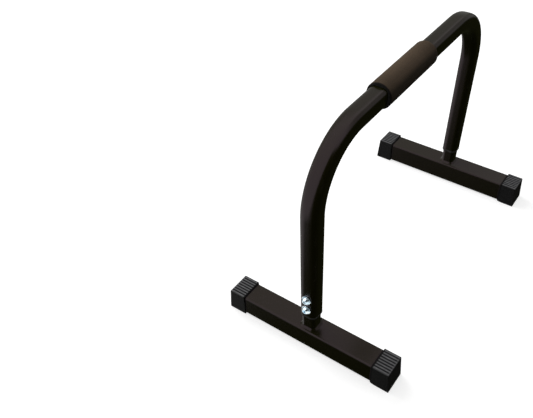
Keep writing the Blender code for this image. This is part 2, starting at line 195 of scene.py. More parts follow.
class Graph:
    """The node tree of one material or of the world."""

    def __init__(self, block: bpy.types.Material | bpy.types.World) -> None:
        """Switch the nodes on and start with none.

        Args:
            block: the material, or the world.
        """
        block.use_nodes = True
        self.tree = block.node_tree
        self.tree.nodes.clear()

    def add(self, kind: str, settings: dict | None = None, inputs: dict | None = None) -> bpy.types.Node:
        """Add any node.

        Args:
            kind: the node's type.
            settings: its own properties, set first.
            inputs: a value or a Wire for each socket, by name, identifier or number.

        Returns:
            The node.
        """
        made = self.tree.nodes.new(kind)
        for key, value in (settings or {}).items():
            setattr(made, key, value)
        for key, value in (inputs or {}).items():
            port = self.port(made.inputs, key)
            if isinstance(value, Wire):
                self.tree.links.new(value.socket, port)
            else:
                port.default_value = value
        return made

    def node(self, kind: str, settings: dict | None = None, inputs: dict | None = None,
             output: str | int = 0) -> Wire:
        """Add any node and take one of its outputs, by name, identifier or number."""
        return Wire(self, self.port(self.add(kind, settings, inputs).outputs, output))

    @staticmethod
    def port(sockets: bpy.types.bpy_prop_collection, key: str | int) -> bpy.types.NodeSocket:
        """Find a socket.

        Args:
            sockets: a node's inputs or outputs.
            key: the socket's number, identifier or name.

        Returns:
            The socket.
        """
        if isinstance(key, int):
            return sockets[key]
        return next(s for s in sockets if s.identifier == key or (s.name == key and s.enabled))

    def show(self, kind: str, surface: Wire) -> None:
        """Join a finished surface to an output node of the given type."""
        self.add(kind, {}, {"Surface": surface})

    def place(self) -> Wire:
        """Place on the object, in metres."""
        return self.node("ShaderNodeTexCoord", output="Object")

    def stretched(self, factors: Spot) -> Wire:
        """Place on the object with each axis multiplied by a factor, for a drawn-out pattern."""
        return self.node("ShaderNodeMapping", {}, {"Vector": self.place(), "Scale": factors})

    def axes(self, kind: str = "Object") -> tuple[Wire, ...]:
        """The place on the object, or the world's direction (Generated), as three numbers."""
        split = self.add("ShaderNodeSeparateXYZ", {}, {0: self.node("ShaderNodeTexCoord", output=kind)})
        return tuple(Wire(self, out) for out in split.outputs)

    def marked(self, name: str) -> Wire:
        """Number that the mesh holds under a name for each of its corners."""
        return self.node("ShaderNodeAttribute", {"attribute_name": name}, {}, "Fac")

    def noise(self, grain: float, detail: float = 2.0, at: Wire | None = None) -> Wire:
        """Cloudy noise from 0 to 1: its spots' size in metres, its finer layers and the place to read."""
        inputs = {"Vector": at or self.place(), "Scale": 1 / grain, "Detail": detail}
        return self.node("ShaderNodeTexNoise", {}, inputs, "Fac")

    def cells(self, grain: float, output: str = "Distance") -> Wire:
        """Round cells of one size in metres: the distance to each centre, or each cell's colour."""
        return self.node("ShaderNodeTexVoronoi", {}, {"Vector": self.place(), "Scale": 1 / grain}, output)

    def blend(self, factor: Wire, low: "Wire | Colour", high: "Wire | Colour") -> Wire:
        """Mix two colours: the first where the factor is 0 and the second where it is 1."""
        first, second = (v if isinstance(v, Wire) else (*v, 1.0) for v in (low, high))
        return self.node("ShaderNodeMix", {"data_type": "RGBA"},
                         {"Factor_Float": factor, "A_Color": first, "B_Color": second}, "Result_Color")

    def bump(self, height: Wire, depth: float, under: Wire | None = None) -> Wire:
        """Turn a height into a bent normal.

        Args:
            height: from 0 to 1.
            depth: what 1 stands for, in metres.
            under: another bump that this one lies on.

        Returns:
            The normal.
        """
        below = {"Normal": under} if under else {}
        inputs = {"Height": height, "Distance": depth, "Strength": 1.0, **below}
        return self.node("ShaderNodeBump", {}, inputs)


def shade(colour: Colour, share: float) -> Colour:
    """A darker tone of a colour, or a lighter one where the share is over 1."""
    red, green, blue = colour
    return share * red, share * green, share * blue


# Finishes


@dataclass(frozen=True)
class Finish:
    """What all finishes have: a name, a slot name that is not used, and constants for the shader."""

    name: str
    slot: str
    fixed: tuple[tuple[str, object], ...] = ()

    def material(self) -> bpy.types.Material:
        """Make this finish's material, once.

        Returns:
            The material.
        """
        made = bpy.data.materials.get(self.name)
        if made is None:
            made = bpy.data.materials.new(self.name)
            graph = Graph(made)
            inputs = {**dict(self.fixed), **self.surface(graph)}
            graph.show("ShaderNodeOutputMaterial", graph.node("ShaderNodeBsdfPrincipled", {}, inputs))
        return made

    def surface(self, graph: Graph) -> dict[str, Wire]:
        """Work out what varies over the surface.

        Args:
            graph: the material's nodes.

        Returns:
            A link for each such socket of the shader.
        """
        raise NotImplementedError


@dataclass(frozen=True)
class PowderCoat(Finish):
    """Semi-gloss black powder coat with orange peel, dust, slightly rubbed corners and painted shade beside
    the end caps.
    """

    colour: Colour = (0.0060, 0.0060, 0.0003)
    rubbed: Colour = (0.024, 0.022, 0.017)
    dusty: Colour = (0.11, 0.105, 0.10)
    # painted shade: the colour of the band beside the end caps
    seam_shade_colour: Colour = (0.0015, 0.0014, 0.001)
    gloss: float = 0.23
    peel: float = 0.0021
    peel_depth: float = 0.000016
    dust_spacing: float = 0.0055
    cap_mouth: float = CAP_MOUTH

    def surface(self, graph: Graph) -> dict[str, Wire]:
        """Work out what varies over the surface.

        Args:
            graph: the material's nodes.

        Returns:
            A link for each such socket of the shader.
        """
        haze = graph.noise(0.055, 3.0)
        peel = graph.noise(self.peel, 1.0)
        grit = graph.noise(0.0004, 2.0)
        worn = graph.marked("corner").rise(0.35, 1.0) * graph.noise(0.019, 5.0).rise(0.50, 0.70)
        chosen = graph.cells(self.dust_spacing, "Color").rise(0.80, 0.84)
        dust = graph.cells(self.dust_spacing).rise(0.05, 0.025) * chosen
        # painted shade beside the end caps; the same band is also made matt
        painted_seam_shade = self.painted_seam_shade(graph) * graph.noise(0.0035, 3.0).rise(0.15, 0.45)
        paint = graph.blend(grit.rise(0.35, 0.75), self.colour, shade(self.colour, 1.45))
        paint = graph.blend(worn * 0.22, paint, self.rubbed)
        paint = graph.blend(dust * 0.35, paint, self.dusty)
        paint = graph.blend(painted_seam_shade, paint, self.seam_shade_colour)
        rough = self.gloss + 0.10 * (haze - 0.5) + 0.05 * (grit - 0.5) + 0.05 * worn + 0.25 * dust
        rough = rough * (1 - painted_seam_shade) + 0.95 * painted_seam_shade
        return {"Base Color": paint, "Roughness": rough, "Normal": graph.bump(peel, self.peel_depth)}

    def painted_seam_shade(self, graph: Graph) -> Wire:
        """Band on the floor tubes against the end caps, painted dark and made matt as painted shade from the
        gap by each cap.
        """
        _, across, _ = graph.axes()
        return abs(across).rise(self.cap_mouth - 0.0026, self.cap_mouth - 0.0017)


@dataclass(frozen=True)
class GripFoam(Finish):
    """Closed-cell foam: fine pores with painted shade in them, faint lines from its extrusion, a palm-worn
    top painted lighter as painted light, and rolled ends painted dark as painted shade.
    """

    colour: Colour = (0.018, 0.012, 0.006)
    # palm wear and painted light: the top is painted far lighter than the underside, where light falls on it
    worn: Colour = (0.058, 0.037, 0.021)
    pore: float = 0.0007
    pore_depth: float = 0.00009
    skin_depth: float = 0.00022
    middle: float = GRIP_MIDDLE
    half: float = GRIP_LENGTH / 2

    def surface(self, graph: Graph) -> dict[str, Wire]:
        """Work out what varies over the surface.

        Args:
            graph: the material's nodes.

        Returns:
            A link for each such socket of the shader.
        """
        along, _, up = graph.axes()
        pores = graph.cells(self.pore).rise(0.55, 0.05)
        skin = graph.noise(0.004, 4.0)
        lines = graph.noise(0.0012, 2.0, graph.stretched((0.03, 1.0, 1.0)))
        # palm wear and painted light on the top, lightest in the middle where palms rub
        palm_wear_and_top_light = (0.8 + 0.2 * abs(along - self.middle).rise(0.062, 0.030)) * up.rise(0.390, 0.3985)
        tone = (skin * 0.55 + lines * 0.45).rise(0.30, 0.72)
        # painted shade: the rolled ends of the grip are painted nearly black
        end_shade = abs(along - self.middle).rise(self.half - 0.0024, self.half - 0.0008)
        foam = graph.blend(tone, shade(self.colour, 0.72), self.colour)
        foam = graph.blend(palm_wear_and_top_light * (0.75 + 0.25 * tone), foam, self.worn)
        # painted shade in the pores
        foam = graph.blend(pores * 0.35, foam, shade(self.colour, 0.35))
        foam = graph.blend(end_shade, foam, shade(self.colour, 0.12))
        rough = 0.86 + 0.08 * (skin - 0.5) - 0.14 * palm_wear_and_top_light
        pitted = graph.bump(pores, -self.pore_depth)
        return {"Base Color": foam, "Roughness": rough,
                "Normal": graph.bump(skin * 0.6 + lines * 0.4, self.skin_depth, pitted)}


@dataclass(frozen=True)
class CapMoulding(Finish):
    """Moulded grey-black plastic with a spark-eroded grain; its top is painted lighter than its sides as
    painted light, its rubbed ridges paler still, and its grooves and mouth painted dark as painted shade.
    """

    colour: Colour = (0.0125, 0.0125, 0.013)
    # painted light: the top's tones, far lighter than the sides; the ridges are partly rubbed pale as well
    flank_top_light: Colour = (0.036, 0.036, 0.038)
    ridge_wear_and_top_light: Colour = (0.116, 0.116, 0.119)
    # painted shade: the colour of the groove floors
    groove: Colour = (0.006, 0.006, 0.007)
    # painted shade: the colour of the band at the cap's mouth
    rim: Colour = (0.002, 0.002, 0.002)
    grain: float = 0.00045
    grain_depth: float = 0.00005
    top: float = CAP_HEIGHT
    axis: float = LEG_AXIS
    pitch: float = GROOVE_PITCH
    mouth: float = CAP_MOUTH

    def surface(self, graph: Graph) -> dict[str, Wire]:
        """Work out what varies over the surface.

        Args:
            graph: the material's nodes.

        Returns:
            A link for each such socket of the shader.
        """
        along, across, up = graph.axes()
        wave = ((abs(along) - self.axis) * (math.pi / self.pitch)).maths("SINE")
        crest = (wave * wave).rise(0.30, 1.0)
        # painted shade: a band along the cap's mouth is painted nearly black
        rim = abs(across).rise(self.mouth + 0.0026, self.mouth + 0.0013)
        grain = graph.noise(self.grain, 3.0)
        cloud = graph.noise(0.012, 3.0)
        mottle = graph.noise(0.0020, 4.0).rise(0.38, 0.64)
        # painted light: the whole top face takes the lighter top tones
        above = up.rise(self.top - 0.00045, self.top - 0.00015)
        # painted shade on the groove floors
        sunk = up.rise(self.top - 0.00130, self.top - 0.00100) * (1.0 - above) * graph.marked("groove")
        scuff = graph.noise(0.0025, 4.0, graph.stretched((1.0, 0.25, 1.0))).rise(0.50, 0.66)
        ribs = graph.blend(crest * (0.62 + 0.60 * scuff), self.flank_top_light, self.ridge_wear_and_top_light)
        moulding = graph.blend(mottle, shade(self.colour, 0.5), shade(self.colour, 1.3))
        moulding = graph.blend(above, moulding, ribs)
        moulding = graph.blend(sunk, moulding, self.groove)
        moulding = graph.blend(rim, moulding, self.rim)
        rough = 0.58 + 0.12 * (grain - 0.5) + 0.06 * (cloud - 0.5) - 0.05 * scuff
        return {"Base Color": moulding, "Roughness": rough,
                "Normal": graph.bump(grain, self.grain_depth)}


@dataclass(frozen=True)
class BushMoulding(Finish):
    """Plain black moulding with a fine grain and a little dust."""

    colour: Colour = (0.034, 0.033, 0.031)
    grain: float = 0.0005
    grain_depth: float = 0.00003

    def surface(self, graph: Graph) -> dict[str, Wire]:
        """Work out what varies over the surface.

        Args:
            graph: the material's nodes.

        Returns:
            A link for each such socket of the shader.
        """
        grain = graph.noise(self.grain, 3.0)
        cloud = graph.noise(0.007, 3.0).rise(0.35, 0.7)
        moulding = graph.blend(cloud, shade(self.colour, 0.75), self.colour)
        return {"Base Color": moulding, "Roughness": 0.50 + 0.12 * (grain - 0.5),
                "Normal": graph.bump(grain, self.grain_depth)}


@dataclass(frozen=True)
class ZincPlate(Finish):
    """Bright zinc plate: a cool, slightly cloudy metal with fine scratches."""

    cool: Colour = (0.50, 0.66, 0.76)
    warm: Colour = (0.74, 0.80, 0.82)
    scratch: float = 0.0004
    scratch_depth: float = 0.000012

    def surface(self, graph: Graph) -> dict[str, Wire]:
        """Work out what varies over the surface.

        Args:
            graph: the material's nodes.

        Returns:
            A link for each such socket of the shader.
        """
        cloud = graph.noise(0.004, 3.0)
        spangle = graph.cells(0.0011, "Color")
        scratch = graph.noise(self.scratch, 2.0, graph.stretched((1.0, 0.06, 1.0))).rise(0.60, 0.72)
        metal = graph.blend(cloud.rise(0.38, 0.66), self.cool, self.warm)
        rough = 0.26 + 0.14 * (cloud - 0.5) + 0.10 * (spangle - 0.5) + 0.10 * scratch
        return {"Base Color": metal, "Roughness": rough,
                "Normal": graph.bump(scratch, -self.scratch_depth)}


COAT = PowderCoat("black_powder_coat", "black_coat",
                  (("Specular IOR Level", 0.5), ("Specular Tint", (1.0, 0.755, 0.91, 1.0))))
FOAM = GripFoam("brown_black_grip_foam", "grip_foam",
                (("Specular IOR Level", 0.3), ("Sheen Weight", 0.04), ("Sheen Roughness", 0.45),
                 ("Sheen Tint", (1.0, 0.90, 0.75, 1.0))))
CAP = CapMoulding("ribbed_cap_moulding", "cap_rubber", (("Specular IOR Level", 0.22),))
BUSH = BushMoulding("bush_moulding", "bush_plastic", (("Specular IOR Level", 0.4),))
ZINC = ZincPlate("bright_zinc_plate", "zinc_plate", (("Metallic", 1.0),))


# The bench


class Bench:
    """Blender's modelling operators, used as by hand, on one piece at a time."""

    @staticmethod
    def put_down() -> None:
        """Leave edit mode and deselect every object."""
        if bpy.context.mode != "OBJECT":
            bpy.ops.object.mode_set(mode="OBJECT")
        bpy.ops.object.select_all(action="DESELECT")

    @staticmethod
    def take(*pieces: Piece) -> None:
        """Select pieces alone.

        Args:
            pieces: the pieces; the first one is made active.
        """
        Bench.put_down()
        for piece in pieces:
            piece.select_set(True)
        bpy.context.view_layer.objects.active = pieces[0]

    @staticmethod
    def add(operator: Callable[..., set[str]], name: str, **settings: object) -> Piece:
        """Add a primitive and move its place into its mesh.

        Args:
            operator: the operator that adds it.
            name: its name.
            settings: the operator's properties.

        Returns:
            The piece.
        """
        Bench.put_down()
        operator(**settings)
        piece = bpy.context.object
        piece.name = piece.data.name = name
        bpy.ops.object.transform_apply(location=True, rotation=True, scale=True)
        return piece

    @staticmethod
    def shift(piece: Piece, move: Matrix) -> None:
        """Move a piece by a matrix that goes into its mesh.

        Args:
            piece: the piece, whose object is at the origin.
            move: the matrix.
        """
        Bench.take(piece)
        piece.matrix_world = move
        bpy.ops.object.transform_apply(location=True, rotation=True, scale=True)

    @staticmethod
    def copy(piece: Piece, name: str, move: Matrix) -> Piece:
        """Copy a piece with a mesh of its own.

        Args:
            piece: the piece.
            name: the copy's name.
            move: the matrix by which the copy is moved.

        Returns:
            The copy.
        """
        Bench.take(piece)
        bpy.ops.object.duplicate(linked=False)
        made = bpy.context.object
        made.name = made.data.name = name
        Bench.shift(made, move)
        return made

    @staticmethod
    def join(*pieces: Piece) -> Piece:
        """Join pieces.

        Args:
            pieces: the pieces, of which the first one takes in the others.

        Returns:
            The first piece.
        """
        Bench.take(*pieces)
        bpy.ops.object.join()
        return pieces[0]

    @staticmethod
    @contextmanager
    def editing(piece: Piece) -> Iterator[None]:
        """Open a piece in edit mode with all of it selected, and close it afterwards.

        Args:
            piece: the piece.

        Yields:
            Nothing, while the piece is open.
        """
        Bench.take(piece)
        bpy.ops.object.mode_set(mode="EDIT")
        Bench.everything()
        yield
        bpy.ops.object.mode_set(mode="OBJECT")

    @staticmethod
    def everything(kind: str = "VERT") -> None:
        """Select all of the open mesh, in the select mode VERT, EDGE or FACE."""
        bpy.ops.mesh.select_mode(type=kind)
        bpy.ops.mesh.select_all(action="SELECT")

    @staticmethod
    def choose(kind: str, test: Callable[[object], bool]) -> None:
        """Select parts of the open mesh.

        Args:
            kind: VERT, EDGE or FACE.
            test: whether one part is wanted.
        """
        bpy.ops.mesh.select_mode(type=kind)
        bpy.ops.mesh.select_all(action="DESELECT")
        mesh = bpy.context.edit_object.data
        work = bmesh.from_edit_mesh(mesh)
        for part in {"VERT": work.verts, "EDGE": work.edges, "FACE": work.faces}[kind]:
            if test(part):
                part.select_set(True)
        work.select_flush_mode()
        bmesh.update_edit_mesh(mesh)

    @staticmethod
    def corners(test: Callable[[Vector], bool]) -> None:
        """Select the corners whose place passes a test."""
        Bench.choose("VERT", lambda vert: test(vert.co))

    @staticmethod
    def edges(test: Callable[[Vector, Vector], bool]) -> None:
        """Select the edges whose two ends pass a test."""
        Bench.choose("EDGE", lambda edge: test(edge.verts[0].co, edge.verts[1].co))

    @staticmethod
    def faces(test: Callable[[Vector], bool]) -> None:
        """Select the faces whose middle passes a test."""
        Bench.choose("FACE", lambda face: test(face.calc_center_median()))

    @staticmethod
    def rims(test: Callable[[Vector], bool] = lambda spot: True) -> None:
        """Select the open rims whose places pass a test."""
        Bench.choose("EDGE", lambda edge: (edge.is_boundary or edge.is_wire)
                     and all(test(vert.co) for vert in edge.verts))

    @staticmethod
    def face_outward() -> None:
        """Merge what lies in one place and turn all faces outward."""
        Bench.everything()
        bpy.ops.mesh.remove_doubles(threshold=TOUCHING)
        bpy.ops.mesh.normals_make_consistent(inside=False)

    @staticmethod
    def pull(x: float = 0.0, y: float = 0.0, z: float = 0.0) -> None:
        """Extrude the selected faces by a distance."""
        bpy.ops.mesh.extrude_region_move(TRANSFORM_OT_translate={"value": (x, y, z)})

    @staticmethod
    def draw(x: float = 0.0, y: float = 0.0, z: float = 0.0) -> None:
        """Extrude the selected open outline by a distance."""
        bpy.ops.mesh.extrude_edges_move(TRANSFORM_OT_translate={"value": (x, y, z)})

    @staticmethod
    def round_off(radius: float, steps: int) -> None:
        """Bevel the selected edges in a number of steps."""
        bpy.ops.mesh.bevel(offset=radius, segments=steps, affect="EDGES")

    @staticmethod
    def plate(name: str, size: float, corner: float, steps: int, at: Spot, turn: Spot = FLAT,
              crown: float = 2.0) -> Piece:
        """Add a square plate with round corners.

        Args:
            name: its name.
            size: its side.
            corner: the radius of its corners.
            steps: edges in each corner.
            at: the place of its middle.
            turn: its turn from lying flat.
            crown: power of the corners' curve, from 2 for a circle to more for a fuller one.

        Returns:
            The plate, as one face.
        """
        piece = Bench.add(bpy.ops.mesh.primitive_plane_add, name, size=size, location=at, rotation=turn)
        with Bench.editing(piece):
            bpy.ops.mesh.bevel(offset=corner, segments=steps, profile=0.25 ** (1 / crown), affect="VERTICES")
            Bench.everything()
            bpy.ops.mesh.remove_doubles(threshold=TOUCHING)
        return piece

    @staticmethod
    def hollow_out(plate: Piece) -> None:
        """Take the face off a plate and leave its outline."""
        with Bench.editing(plate):
            bpy.ops.mesh.delete(type="ONLY_FACE")

    @staticmethod
    def line(tube: Piece, wall: float) -> None:
        """Give an open tube its wall, on the inside."""
        Bench.fit(tube, "SOLIDIFY", thickness=wall, offset=-1.0, use_even_offset=True)

    @staticmethod
    def square_tube(plate: Piece, wall: float, y: float = 0.0, z: float = 0.0) -> Piece:
        """Draw a plate's outline out into a straight tube.

        Args:
            plate: the plate, which becomes the tube.
            wall: the tube's wall.
            y: its length along Y.
            z: its length along Z.

        Returns:
            The tube.
        """
        Bench.hollow_out(plate)
        with Bench.editing(plate):
            Bench.draw(y=y, z=z)
            Bench.face_outward()
        Bench.line(plate, wall)
        return plate

    @staticmethod
    def turned(name: str, profile: list[tuple[float, float]], sides: int, solid: bool = True) -> Piece:
        """Turn a piece about the Z axis, ring by ring.

        Args:
            name: its name.
            profile: height and radius of each ring.
            sides: how many corners a ring has.
            solid: whether a flat face closes it at each end.

        Returns:
            The piece.
        """
        start, first = profile[0]
        piece = Bench.add(bpy.ops.mesh.primitive_circle_add, name, vertices=sides, radius=first,
                          location=(0, 0, start), fill_type="NGON" if solid else "NOTHING")
        lengthen = Bench.pull if solid else Bench.draw
        with Bench.editing(piece):
            for (height, radius), (next_height, next_radius) in zip(profile, profile[1:]):
                lengthen(z=next_height - height)
                scale = next_radius / radius
                bpy.ops.transform.resize(value=(scale, scale, 1), center_override=(0, 0, next_height))
            Bench.face_outward()
        return piece

    @staticmethod
    def fit(piece: Piece, kind: str, **settings: object) -> None:
        """Add a modifier and apply it at once.

        Args:
            piece: the piece.
            kind: the modifier's type.
            settings: its properties.
        """
        Bench.take(piece)
        tool = piece.modifiers.new(kind.lower(), kind)
        for key, value in settings.items():
            setattr(tool, key, value)
        bpy.ops.object.modifier_apply(modifier=tool.name)

    @staticmethod
    def soften(piece: Piece, width: float, angle: float) -> None:
        """Bevel the edges of a piece that are sharper than an angle in degrees."""
        Bench.fit(piece, "BEVEL", width=width, segments=2, limit_method="ANGLE",
                  angle_limit=math.radians(angle), use_clamp_overlap=True)

    @staticmethod
    def cut(piece: Piece, *cutters: Piece) -> None:
        """Cut a piece with others.

        Args:
            piece: the piece.
            cutters: what is cut out of it; they are used up.
        """
        for cutter in cutters:
            Bench.fit(piece, "BOOLEAN", operation="DIFFERENCE", object=cutter, solver="EXACT")
            bpy.data.objects.remove(cutter)

    @staticmethod
    def drills(face: float) -> list[Piece]:
        """Make the cutters for the two screw holes in a wall whose outer face is at a place along X."""
        return [Bench.add(bpy.ops.mesh.primitive_cylinder_add, "screw_drill", vertices=32,
                          radius=SCREW_HOLE / 2, depth=0.010, rotation=FACING_X,
                          location=(face, 0, level.height)) for level in Level]

    @staticmethod
    def mark(piece: Piece, name: str, value: Callable[[Vector], float]) -> None:
        """Write a number for each corner of a mesh, for its material to read.

        Args:
            piece: the piece.
            name: the name under which the material reads it.
            value: works out the number for a place.
        """
        layer = piece.data.attributes.new(name, "FLOAT", "POINT")
        for vert, spot in zip(piece.data.vertices, layer.data):
            spot.value = value(vert.co)


def corner_share(across: float, over: float, size: float, corner: float) -> float:
    """How far round a rounded square's corner a place lies.

    Args:
        across: distance from the axis one way.
        over: distance from the axis the other way.
        size: the square's side.
        corner: its corner's radius.

    Returns:
        0 on the flats, rising to 1 in the middle of a corner.
    """
    flat = size / 2 - corner
    one, two = abs(across) - flat, abs(over) - flat
    if one <= HAIR or two <= HAIR:
        return 0.0
    return 1 - abs(4 * math.atan2(two, one) / math.pi - 1)


@dataclass
class SubAssembly:
    """A group of pieces that are handed over together; what repeats is copied from a pattern."""

    smooth: float = field(default=math.radians(32), kw_only=True)
    patterns: dict[str, Piece] = field(default_factory=dict, kw_only=True)

    def copy_of(self, model: Callable[[], Piece], name: str, move: Matrix = UNMOVED) -> Piece:
        """Copy a pattern.

        Args:
            model: the method that models the pattern, called for the first copy alone.
            name: the copy's name.
            move: the matrix by which the copy is moved.

        Returns:
            The copy, with a mesh of its own.
        """
        if model.__name__ not in self.patterns:
            self.patterns[model.__name__] = model()
        return Bench.copy(self.patterns[model.__name__], name, move)

    def put_away(self) -> None:
        """Remove the patterns."""
        for pattern in self.patterns.values():
            bpy.data.objects.remove(pattern)

    def hand_over(self, piece: Piece, finish: Finish, node: str) -> None:
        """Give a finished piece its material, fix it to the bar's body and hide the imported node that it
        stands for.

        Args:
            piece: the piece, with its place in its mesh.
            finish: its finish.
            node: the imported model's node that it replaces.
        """
        Bench.take(piece)
        bpy.ops.object.shade_smooth_by_angle(angle=self.smooth)
        Bench.fit(piece, "WEIGHTED_NORMAL", mode="FACE_AREA", weight=50, keep_sharp=True)
        piece.data.materials.clear()
        piece.data.materials.append(finish.material())
        piece.visible_glossy = finish is not COAT  # the coat mirrors the room, not its own black tubes
        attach(piece, BODY)
        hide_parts(node)
        verts = piece.data.vertices
        box = [[edge(vert.co[axis] for vert in verts) for axis in range(3)] for edge in (min, max)]
        off = max(abs(a - b) for here, there in zip(box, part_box(node)) for a, b in zip(here, there))
        LOG.info("%s: %s faces, box within %.2f mm of %s", piece.name, len(piece.data.polygons),
                 1000 * off, node)
        Bench.put_down()


# The handle


@dataclass
class Handle(SubAssembly):
    """The box-section tube, bent twice, and the foam grip on it."""

    axis: float = LEG_AXIS
    axis_height: float = 0.3825
    leg_end: float = 0.0755
    leg_end_edge: float = 0.00025
    size: float = LEG_SIZE
    corner: float = LEG_CORNER
    corner_steps: int = 22
    crown: float = 3.5
    wall: float = 0.0012
    bend: float = 0.104
    bend_steps: int = 44
    grip_radius: float = 0.0208
    grip_sides: int = 96
    grip_length: float = GRIP_LENGTH
    grip_middle: float = GRIP_MIDDLE
    grip_gap: float = CLEARANCE
    bore_steps: int = 23
    lip: float = 0.0025
    lip_steps: int = 8

    def build(self) -> None:
        """Make the tube and the grip."""
        tube = self.tube()
        Bench.mark(tube, "corner", self.tube_corner)
        self.hand_over(tube, COAT, "handle_tube")
        grip = self.grip()
        self.hand_over(grip, FOAM, "grip_sleeve")

    def tube(self) -> Piece:
        """Sweep the section up one leg, round both bends and down the other.

        Returns:
            The tube, with its wall and its screw holes.
        """
        straight = self.axis_height - self.bend
        tube = Bench.plate("bent_handle_tube", self.size, self.size / 2, self.corner_steps,
                           (-self.axis, 0, self.leg_end), crown=self.crown)
        Bench.hollow_out(tube)
        with Bench.editing(tube):
            Bench.draw(z=straight - self.leg_end)
            self.turn(self.bend - self.axis, straight)
            Bench.draw(x=2 * self.axis - 2 * self.bend)
            self.turn(self.axis - self.bend, straight)
            Bench.draw(z=self.leg_end - straight)
            Bench.face_outward()
        Bench.line(tube, self.wall)
        with Bench.editing(tube):
            Bench.edges(lambda a, b: max(a.z, b.z) < self.leg_end + HAIR and self.on_outline(a, b))
            Bench.round_off(self.leg_end_edge, steps=2)
        for end in End:
            Bench.cut(tube, *Bench.drills(end.sign * (self.axis + self.size / 2)))
        return tube

    def turn(self, x: float, z: float) -> None:
        """Spin the section a quarter turn about an axis across the bar."""
        bpy.ops.mesh.spin(steps=self.bend_steps, angle=-math.pi / 2, center=(x, 0, z), axis=(0, 1, 0))

    def on_outline(self, a: Vector, b: Vector) -> bool:
        """Whether an edge at a leg's end lies on the tube's outer outline, not on its bore."""
        spans = [abs(abs(v.x) - self.axis) ** self.crown + abs(v.y) ** self.crown for v in (a, b)]
        return min(spans) ** (1 / self.crown) > (self.size - self.wall) / 2

    def tube_corner(self, spot: Vector) -> float:
        """How far round the section's corner a place on the tube lies.

        Args:
            spot: the place.

        Returns:
            0 on the flats, rising to 1 in the middle of a corner.
        """
        pivot_x, pivot_z = self.axis - self.bend, self.axis_height - self.bend
        aside, above = abs(spot.x) - pivot_x, spot.z - pivot_z
        if above <= 0:
            over = abs(spot.x) - self.axis
        elif aside <= 0:
            over = spot.z - self.axis_height
        else:
            over = math.hypot(aside, above) - self.bend
        return corner_share(over, spot.y, self.size, self.corner)

    def grip(self) -> Piece:
        """Round foam sleeve with rolled ends, whose bore hugs the square tube.

        Returns:
            The grip.
        """
        first, length, radius = self.grip_middle - self.grip_length / 2, self.grip_length, self.grip_radius
        angles = [math.pi / 2 * step / self.lip_steps for step in range(self.lip_steps + 1)]
        rolled = [(self.lip * (1 - math.cos(a)), radius - self.lip * (1 - math.sin(a))) for a in angles]
        profile = [(first + inward, small) for inward, small in rolled]
        profile += [(first + length * share, radius) for share in (0.1, 0.3, 0.5, 0.7, 0.9)]
        profile += [(first + length - inward, small) for inward, small in reversed(rolled)]
        grip = Bench.turned("foam_grip", profile, self.grip_sides, solid=False)
        along_bar = Matrix.Rotation(math.pi / 2, 4, "Y")
        Bench.shift(grip, Matrix.Translation((0, 0, self.axis_height)) @ along_bar)
        bore = Bench.plate("grip_bore", self.size + 2 * self.grip_gap, self.corner + self.grip_gap,
                           self.bore_steps, (first, 0, self.axis_height), FACING_X)
        Bench.hollow_out(bore)
        with Bench.editing(bore):
            Bench.draw(x=length)
        grip = Bench.join(grip, bore)
        with Bench.editing(grip):
            for way in (-1, 1):
                Bench.rims(lambda spot: (spot.x - self.grip_middle) * way > 0)
                bpy.ops.mesh.bridge_edge_loops()
            Bench.face_outward()
        return grip


# The feet


